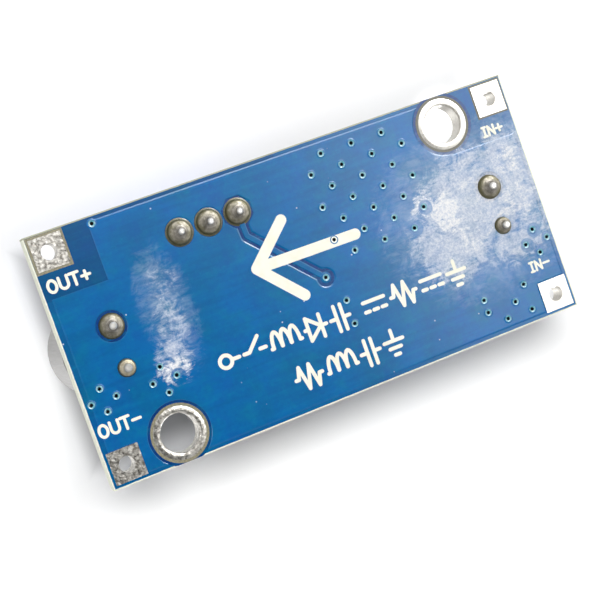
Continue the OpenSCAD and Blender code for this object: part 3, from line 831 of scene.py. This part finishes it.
# Terminal marks, in units of their own height: width, then strokes.
GLYPHS = {
    "O": (0.85, [arc(0.42, 0.5, 0.36, 0.5, 90, 450, 18)]),
    "U": (0.8, [[(0.05, 1.0), (0.05, 0.4)] + arc(0.4, 0.36, 0.35, 0.36, 180, 360) + [(0.75, 1.0)]]),
    "T": (0.75, [[(0.0, 1.0), (0.75, 1.0)], [(0.375, 1.0), (0.375, 0.0)]]),
    "I": (0.5, [[(0.25, 0.0), (0.25, 1.0)], [(0.05, 0.0), (0.45, 0.0)],
                [(0.05, 1.0), (0.45, 1.0)]]),
    "N": (0.75, [[(0.05, 0.0), (0.05, 1.0), (0.7, 0.0), (0.7, 1.0)]]),
    "+": (0.8, [[(0.05, 0.5), (0.75, 0.5)], [(0.4, 0.15), (0.4, 0.85)]]),
    "-": (0.8, [[(0.05, 0.5), (0.75, 0.5)]]),
}
LETTER_GAP = 0.18
# text, where it starts, its height and half the width of its strokes
LABELS = [("OUT+", 20.95, 5.75, 0.95, 0.12), ("OUT-", 21.1, -6.25, 0.95, 0.12),
          ("IN+", -18.3, 5.85, 0.8, 0.1), ("IN-", -18.35, -6.4, 0.8, 0.1)]


def write(bm, text, x, y, height, half, z0, z1, flip=1.0):
    """Writes a terminal mark."""
    for letter in text:
        width, lines = GLYPHS[letter]
        strokes(bm, lines, (x, y), half, z0, z1, height, flip)
        x -= flip * (width + LETTER_GAP) * height


# Circuit symbols, one unit high: width, then strokes.
SYMBOLS = {
    "terminal": (0.8, [arc(0.25, 0.5, 0.24, 0.24, 0, 360, 18), [(0.5, 0.5), (0.8, 0.5)]]),
    "switch": (0.9, [[(0, 0.5), (0.22, 0.5), (0.7, 1.0)], [(0.66, 0.5), (0.9, 0.5)]]),
    "coil": (1.25, [[(0, 0.3)] + [p for k in range(3)
                                  for p in arc(0.25 + 0.375 * k, 0.3, 0.18, 0.6, 180, 0)]
                    + [(1.25, 0.3)]]),
    "diode": (0.9, [[(0, 0.5), (0.14, 0.5)],
                    [(0.14, 0.06), (0.14, 0.94), (0.66, 0.5), (0.14, 0.06)],
                    [(0.7, 0.06), (0.7, 0.94)], [(0.7, 0.5), (0.9, 0.5)]]),
    "capacitor": (0.8, [[(0, 0.5), (0.26, 0.5)], [(0.26, 0), (0.26, 1)], [(0.54, 0), (0.54, 1)],
                        [(0.54, 0.5), (0.8, 0.5)]]),
    "resistor": (1.1, [[(0, 0.5), (0.12, 0.5), (0.24, 0.95), (0.44, 0.05), (0.66, 0.95),
                        (0.86, 0.05), (0.98, 0.5), (1.1, 0.5)]]),
    "ground": (0.8, [[(0.4, 1.0), (0.4, 0.58)], [(0, 0.58), (0.8, 0.58)],
                     [(0.16, 0.3), (0.64, 0.3)], [(0.3, 0.03), (0.5, 0.03)]]),
    "steady": (0.9, [[(0, 0.7), (0.9, 0.7)], [(0, 0.32), (0.18, 0.32)],
                     [(0.36, 0.32), (0.54, 0.32)], [(0.72, 0.32), (0.9, 0.32)]]),
}
# symbols, where the row starts, its height and the gap after each symbol
ROWS = [
    (["terminal", "switch", "coil", "diode", "capacitor"], 10.1, -5.2, 2.15, 0.2),
    (["steady", "resistor", "steady", "ground"], -3.0, -5.2, 2.15, 0.26),
    (["resistor", "coil", "capacitor", "ground"], 4.6, -8.75, 2.15, 0.22),
]
SYMBOL_HALF = 0.16
# the arrow: two barbs and a shaft that meet at its tip
ARROW_TIP = (4.55, 2.02)
ARROW_ENDS = [(-4.42, 1.92), (1.23, 5.09), (1.43, -1.34)]
ARROW_HALF = 0.465


def underside_print():
    """White arrow, terminal marks and rows of symbols on the solder side."""
    z0, z1 = -SHEET_T - INK_T, 0.002
    arrow = bmesh.new()
    for i, end in enumerate(ARROW_ENDS):
        loft(arrow, capsule(ARROW_TIP, end, ARROW_HALF, 16), [(0, z0 - 0.001 * i), (0, z1)])
    holes = bmesh.new()
    for x, y, r in VIAS:
        loft(holes, disc(x, y, r - 0.12, 20), PAST_SOLDER_SIDE)
    cut(piece("printed_arrow", arrow, INK), holes)
    labels = bmesh.new()
    for text, x, y, height, half in LABELS:
        write(labels, text, x, y, height, half, z0, z1)
    piece("printed_labels", labels, INK)
    marks = bmesh.new()
    for names, x, y, size, gap in ROWS:
        for name in names:
            width, lines = SYMBOLS[name]
            strokes(marks, lines, (x, y), SYMBOL_HALF, z0, z1, size)
            x -= (width + gap) * size
    piece("printed_symbols", marks, INK)


# ---- the component side ----

# The gaps between the nets on the component side, each a line of points, and the trace that
# takes the feedback on from its via.
CHANNELS = [
    [(-21.5, 0.0), (-13.4, 0.0), (-13.4, -5.6), (-9.3, -5.6), (-9.3, -0.6), (-12.7, -0.6),
     (-12.7, 10.5)],
    [(-9.3, -5.6), (-4.9, -5.6), (-4.9, -10.5)],
    [(-7.6, -0.8), (-7.6, -5.0), (-2.4, -5.0), (-2.4, 0.9), (3.0, 0.9), (3.0, -10.5)],
    [(21.5, 0.0), (14.6, 0.0), (14.6, -4.6), (12.9, -6.8), (9.6, -6.8), (9.6, 3.2), (13.0, 3.2),
     (13.0, 10.5)],
]
TOP_TRACE = [(-0.76, -0.6), (-1.5, -2.0), (-4.3, -2.0), (-5.05, -3.0)]
TOP_LABELS = [("IN+", -21.0, 5.6, 0.95, 0.1), ("IN-", -21.0, -6.6, 0.95, 0.1),
              ("OUT+", 17.7, 5.6, 0.95, 0.1), ("OUT-", 17.9, -6.6, 0.95, 0.1)]
NET_GAP_HALF = 0.12                  # half the gap between two nets
TOP_TRACE_HALF = 0.12
TOP_TRACE_GAP_HALF = 0.34
LAND_GAP = 0.06
LINE_HALF = 0.075                    # half the width of a printed outline


def raised(steps):
    """The same section seen from the component side."""
    return [(g, TOP - z) for g, z in reversed(steps)]


def top_pour():
    """The component side's copper under its mask, split into its nets."""
    sheet = bmesh.new()
    loft(sheet, rect(-HALF_L + EDGE_GAP, -HALF_W + EDGE_GAP, HALF_L - EDGE_GAP, HALF_W - EDGE_GAP),
         raised(RIM))
    bores = [(disc(x, y, VIA_R, 16), VIA_CUT) for x, y, _ in VIAS]
    gaps = [disc(x, y, r + 0.3, 64) for x, y, r in RINGS]
    gaps += [square(x, y, r) for x, y, r in PADS]
    gaps += [disc(x, y, 0.8, 24) for x, y, _ in TRIMMER_JOINTS]
    gaps += [rect(lo.x - LAND_GAP, lo.y - LAND_GAP, hi.x + LAND_GAP, hi.y + LAND_GAP)
             for lo, hi in islands("component_lands")]
    for node in ("input_can", "output_can"):
        x, y, r = middle(*box_mm(node))
        gaps.append(disc(x, y, r - 0.2, 48))
    lo, hi = box_mm("trimmer_housing")
    gaps.append(rect(lo.x + 0.3, lo.y + 0.3, hi.x - 0.3, hi.y - 0.3))
    for line in CHANNELS:
        gaps += [capsule(a, b, NET_GAP_HALF) for a, b in zip(line, line[1:])]
    gaps += [capsule(a, b, TOP_TRACE_GAP_HALF) for a, b in zip(TOP_TRACE, TOP_TRACE[1:])]
    cutters = bmesh.new()
    for gap, section in bores + [(gap, CUT) for gap in gaps]:
        loft(cutters, gap, raised(section))
    cut(piece("top_pour", sheet, TOP_POUR), cutters)
    trace = bmesh.new()
    for i, (a, b) in enumerate(zip(TOP_TRACE, TOP_TRACE[1:])):
        section = [(0.0, -SHEET_T - 0.001 * i), (0.05, -0.03), (0.07, 0.004)]
        loft(trace, capsule(a, b, TOP_TRACE_HALF), raised(section))
    piece("top_trace", trace, TOP_POUR)


def printed_line(bm, points, z0, z1):
    """Adds a thin printed line through the points."""
    for i, (a, b) in enumerate(zip(points, points[1:])):
        loft(bm, capsule(a, b, LINE_HALF, 5), [(0, z0), (0, z1 + STAGGER * (i % 7))])


def printed_loop(bm, points, z0, z1):
    printed_line(bm, points + points[:1], z0, z1)


def box_corners(node, grow):
    lo, hi = box_mm(node)
    return rect(lo.x - grow, lo.y - grow, hi.x + grow, hi.y + grow)(0)


def top_print():
    """White component outlines, polarity marks and terminal marks."""
    z0, z1 = TOP - 0.002, TOP + SHEET_T + INK_T
    ink = bmesh.new()
    plus = [[(0, 0.5), (1, 0.5)], [(0.5, 0), (0.5, 1)]]
    for node, side in (("input_can", -1), ("output_can", 1)):
        x, y, r = middle(*box_mm(node))
        tube(ink, x, y, [(r + 0.22, z0), (r + 0.38, z0), (r + 0.38, z1), (r + 0.22, z1)], 96)
        strokes(ink, plus, (x - side * 3.4, y + 3.5), LINE_HALF, z0, z1, 0.9, -1.0)
    printed_loop(ink, box_corners("trimmer_housing", 0.25), z0, z1)
    printed_loop(ink, box_corners("resistor_caps", 0.28), z0, z1)
    # the coil's outline has its corners cut off
    lo, hi = box_mm("inductor_base")
    x0, y0, x1, y1, c = lo.x - 0.3, lo.y - 0.2, hi.x + 0.3, hi.y + 0.3, 2.2
    printed_loop(ink, [(x0 + c, y0), (x1 - c, y0), (x1, y0 + c), (x1, y1 - c), (x1 - c, y1),
                       (x0 + c, y1), (x0, y1 - c), (x0, y0 + c)], z0, z1)
    # the diode has a line along each side and a hook at its cathode
    lo, hi = box_mm("diode_body")
    below, above = lo.y - 0.3, hi.y + 0.3
    for y in (below, above):
        printed_line(ink, [(lo.x, y), (hi.x, y)], z0, z1)
    printed_line(ink, [(hi.x - 0.9, above), (hi.x - 0.9, hi.y + 0.65), (hi.x, hi.y + 0.65)], z0, z1)
    lo, hi = box_mm("regulator_body")
    for x, turn in ((lo.x - 0.35, 1), (hi.x + 0.35, -1)):
        printed_line(ink, [(x + turn * 0.5, lo.y - 0.3), (x, lo.y - 0.3), (x, hi.y - 0.6)], z0, z1)
    for text, x, y, height, half in TOP_LABELS:
        write(ink, text, x, y, height, half, z0, z1, flip=-1.0)
    # no ink on the vias, the rings or past the board's ends
    holes = bmesh.new()
    for x, y, _ in VIAS:
        loft(holes, disc(x, y, VIA_R + 0.02, 16), PAST_TOP)
    for x, y, r in RINGS:
        loft(holes, disc(x, y, r + 0.35, 48), PAST_TOP)
    for side in (-1, 1):
        x0, x1 = sorted((side * (HALF_L - 0.2), side * (HALF_L + 2)))
        loft(holes, rect(x0, -HALF_W - 1, x1, HALF_W + 1), PAST_TOP)
    cut(piece("top_print", ink, INK), holes)


# ---- stage, light and camera ----

STAGE_RADIUS = 400
STAGE_SHADE = 0.98


def stage_plane(name, z, facing, shaded, glow_near, glow_far, light_patches):
    """A round sheet seen from one side only, which fades out towards its edge and glows a little
    brighter away from the object, leaving a painted shadow next to it. It lets the lamps through to
    what the camera sees, and stops them on their way to what only a bounce from the sheet would
    see."""
    g = Graph(name + "_mat")
    path = g.node("ShaderNodeLightPath").outputs
    back = g.node("ShaderNodeNewGeometry").outputs["Backfacing"]
    seen = g.math("MULTIPLY", path["Is Camera Ray"], g.math("SUBTRACT", 1.0, back))
    bounces = path["Diffuse Depth"]
    blocks = g.math("MAXIMUM",
                    g.math("MULTIPLY", path["Is Shadow Ray"],
                           g.math("GREATER_THAN", bounces, 0.5)),
                    g.math("MULTIPLY", path["Is Diffuse Ray"],
                           g.math("GREATER_THAN", bounces, 1.5)))
    x, y = g.axis("X"), g.axis("Y")
    far = g.math("SQRT", g.math("ADD", g.math("MULTIPLY", x, x), g.math("MULTIPLY", y, y)))
    edge = g.span(far, STAGE_RADIUS * 0.5, STAGE_RADIUS * 0.95, 1.0, 0.0)
    seen = g.math("MULTIPLY", seen, edge)
    beside = g.math("MAXIMUM", g.math("SUBTRACT", g.math("ABSOLUTE", x), HALF_L),
                    g.math("SUBTRACT", g.math("ABSOLUTE", y), HALF_W))
    # the sheet is painted darker behind the board as shadow, seen through the holes of its output
    # half
    open_air = g.math("MAXIMUM", g.span(beside, -2.0, 0.4), g.span(x, -12.0, 4.0, 1.0, 0.0))
    grey = g.mix(open_air, (shaded, shaded, shaded, 1), (STAGE_SHADE, STAGE_SHADE, STAGE_SHADE, 1))
    diffuse = g.node("ShaderNodeBsdfDiffuse")
    g.plug(diffuse.inputs["Color"], grey)
    # less glow next to the object and more away from it: a painted shadow round the object
    lit = g.math("ADD", g.span(beside, 0.0, 8.0, glow_near, glow_far),
                 g.span(beside, 30.0, 120.0, 0.0, 0.7))
    if light_patches:
        lit = g.math("ADD", lit, patches(g, light_patches))
    glow = g.node("ShaderNodeEmission")
    g.plug(glow.inputs["Strength"], lit)
    both = g.node("ShaderNodeAddShader")
    g.plug(both.inputs[0], diffuse.outputs[0])
    g.plug(both.inputs[1], glow.outputs[0])
    clear = g.node("ShaderNodeBsdfTransparent")
    sheet = g.choose(g.math("MAXIMUM", seen, blocks), clear.outputs[0], both.outputs[0])
    g.plug(g.output.inputs["Surface"], sheet)
    bm = bmesh.new()
    ring = [bm.verts.new((px * MM, py * MM, z * MM)) for px, py in disc(0, 0, STAGE_RADIUS, 96)(0)]
    bm.faces.new(ring if facing > 0 else list(reversed(ring)))
    new_object(name, bm, g.material)


def make_world():
    """White to the camera and in reflections, softer as light on the object."""
    world = bpy.data.worlds.new("studio")
    bpy.context.scene.world = world
    world.use_nodes = True
    g = Tree(world.node_tree)
    path = g.node("ShaderNodeLightPath").outputs
    direct = g.math("MAXIMUM", path["Is Camera Ray"], path["Is Glossy Ray"])
    direct = g.math("MAXIMUM", direct, path["Is Transmission Ray"])
    shaders = []
    for strength in (WORLD_LIGHT, 1.0):
        made = g.node("ShaderNodeBackground")
        made.inputs["Color"].default_value = (1, 1, 1, 1)
        made.inputs["Strength"].default_value = strength
        shaders.append(made.outputs[0])
    output = g.node("ShaderNodeOutputWorld")
    g.plug(output.inputs["Surface"], g.choose(direct, *shaders))


WORLD_LIGHT = 0.32
LAMP_AIM = (0, 0, 0.005)
# Name, place, width and height in metres, power, and the kind of ray that misses the lamp.
LAMPS = [
    ("key_below", (0.07, 0.1, -0.33), (0.14, 0.14), 0.8, "glossy"),
    ("side_below", (0.2, 0.06, -0.26), (0.1, 0.1), 0.14, None),
    ("glint_below", (-0.1, 0.2, -0.28), (0.12, 0.12), 0.5, "diffuse"),
    ("spark_below", (-0.22, 0.18, -0.22), (0.11, 0.11), 1.1, "diffuse"),
    ("sheen_below", (-0.23, 0.06, -0.3), (0.24, 0.26), 0.7, "diffuse"),
    ("key_above", (-0.16, -0.2, 0.32), (0.2, 0.2), 0.85, None),
    ("fill_above", (0.24, -0.1, 0.24), (0.24, 0.24), 0.4, None),
]


def lamp(name, place, size, power, misses):
    data = bpy.data.lights.new(name, "AREA")
    data.shape = "RECTANGLE"
    data.size, data.size_y = size
    data.energy = power
    obj = bpy.data.objects.new(name, data)
    obj.location = place
    obj.rotation_euler = (Vector(LAMP_AIM) - Vector(place)).to_track_quat("-Z", "Y").to_euler()
    bpy.context.scene.collection.objects.link(obj)
    if misses == "glossy":
        obj.visible_glossy = False
    elif misses == "diffuse":
        obj.visible_diffuse = False


def make_flag():
    """A dark card below the board that only its reflections show."""
    g = Graph("flag_mat")
    g.surface((0.004, 0.004, 0.005, 1), 0.9)
    bm = bmesh.new()
    bm.faces.new([bm.verts.new((x, y, -0.2)) for x, y in ((-0.075, -0.2), (0.16, -0.2),
                                                         (0.16, 0.1), (-0.075, -0.016))])
    obj = add_object("dark_flag", bm, g.material)
    obj.visible_camera = False
    obj.visible_diffuse = False
    obj.visible_shadow = False
    obj.visible_transmission = False


def make_camera():
    """The photograph's view."""
    data = bpy.data.cameras.new("camera")
    data.sensor_width = 36
    data.angle = math.radians(22.845)
    data.clip_start, data.clip_end = 0.005, 10
    obj = bpy.data.objects.new("camera", data)
    obj.location = (0.03647, 0.00584, -0.11607)
    obj.rotation_euler = [math.radians(a) for a in (-177.5665, 16.7404, -159.4626)]
    bpy.context.scene.collection.objects.link(obj)
    bpy.context.scene.camera = obj


# Painted pools of light on the table, as for patches(), that the photograph shows by the board and
# through its holes.
TABLE_PATCHES = [(-21.0, 8.4, 4.0, 4.0, 0.6), (18.2, 9.2, 2.0, 2.0, 0.6),
                 (28.0, 2.0, 9.0, 16.0, 0.22)]
TABLE_Z = 12.9                       # behind the cans, for views from the solder side
FLOOR_Z = box_mm("output_leads")[0].z


# ---- what is built ----

dress_nodes()
underside_pour()
gap_shade_floors()
feedback_trace()
via_lips()
bare_windows()
flux_rings()
underside_print()
top_pour()
top_print()

stage_plane("table", TABLE_Z, -1, 0.5, 0.02, 0.4, TABLE_PATCHES)
stage_plane("floor", FLOOR_Z, 1, 0.98, 0.05, 0.3, [])
make_flag()
make_world()
for row in LAMPS:
    lamp(*row)
make_camera()

bpy.context.scene.view_settings.view_transform = "Standard"
